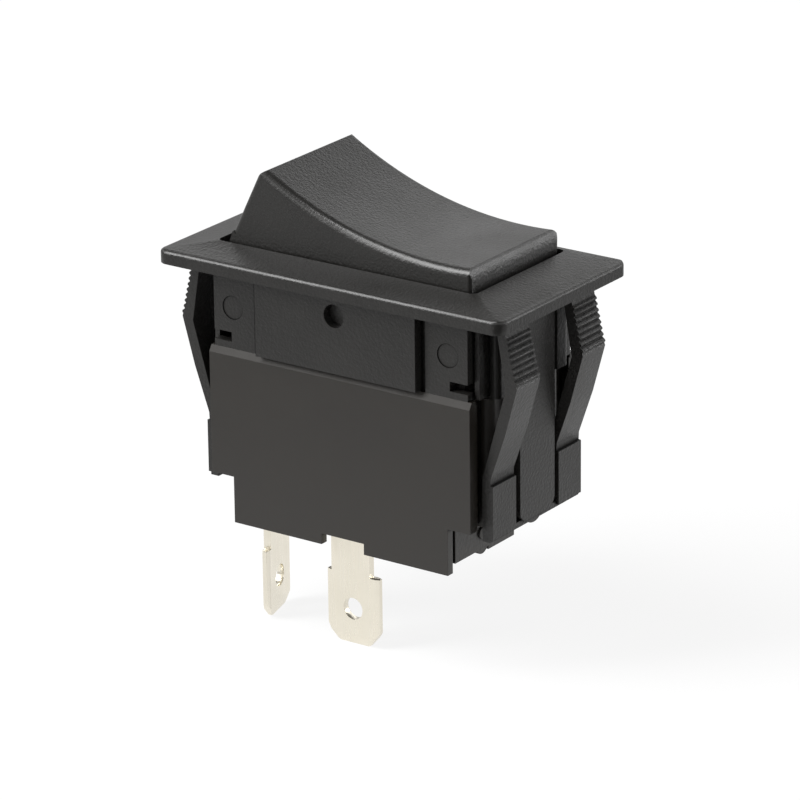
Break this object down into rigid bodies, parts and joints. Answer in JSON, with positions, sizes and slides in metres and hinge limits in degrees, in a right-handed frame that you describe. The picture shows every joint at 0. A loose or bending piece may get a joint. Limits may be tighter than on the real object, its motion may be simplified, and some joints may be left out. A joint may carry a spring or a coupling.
{
  "type": "panel rocker switch",
  "caption": "Snap-in panel rocker switch with a rectangular bezel, a curved rocker, sprung side arms and quick-connect blades.",
  "frame": {"origin": "centre of the bezel's underside, in the plane of the panel's front face, inside the panel cut-out", "axes": "+X along the bezel towards the pressed end of the rocker, +Y across the bezel away from the terminal block, +Z out of the panel towards the user"},
  "size_m": [0.0412, 0.0226, 0.048],
  "materials": {
    "frame_nylon": "spark-eroded black nylon",
    "rocker_nylon": "fine-textured black nylon",
    "base_phenolic": "smooth black moulding compound",
    "tinned_blade": "tin-plated brass strip",
    "contact_silver": "silver alloy",
    "lever_copper": "plain copper alloy strip",
    "plunger_acetal": "natural acetal",
    "spring_steel": "drawn wire"
  },
  "bodies": {
    "housing": {"frame": "frame_nylon", "base": "base_phenolic", "centre_terminal": "tinned_blade", "end_terminal": "tinned_blade", "fixed_contact": "contact_silver"},
    "rocker": {"rocker": "rocker_nylon", "plunger_spring": "spring_steel"},
    "plunger": {"plunger": "plunger_acetal"},
    "contact": {"contact_lever": "lever_copper", "moving_contact": "contact_silver"}
  },
  "joints": [
    {"name": "rocker_hinge", "type": "hinge", "parent": "housing", "child": "rocker", "pos_m": [0, 0, -0.0022], "axis": [0, -1, 0], "range_deg": [0, 27]},
    {"name": "contact_rock", "type": "hinge", "parent": "housing", "child": "contact", "pos_m": [0, -0.0042, -0.014], "axis": [0, 1, 0], "range_deg": [0, 10]},
    {"name": "plunger_slide", "type": "slide", "parent": "rocker", "child": "plunger", "axis": [0.2334, 0, 0.9724], "range_m": [0, 0.0005], "stiffness_N_per_m": 1200, "springref_m": -0.0025, "deforming": ["plunger_spring"]}
  ],
  "couplings": [
    {"joint": "contact_rock", "follows": "rocker_hinge", "ratio": 0.37037}
  ]
}
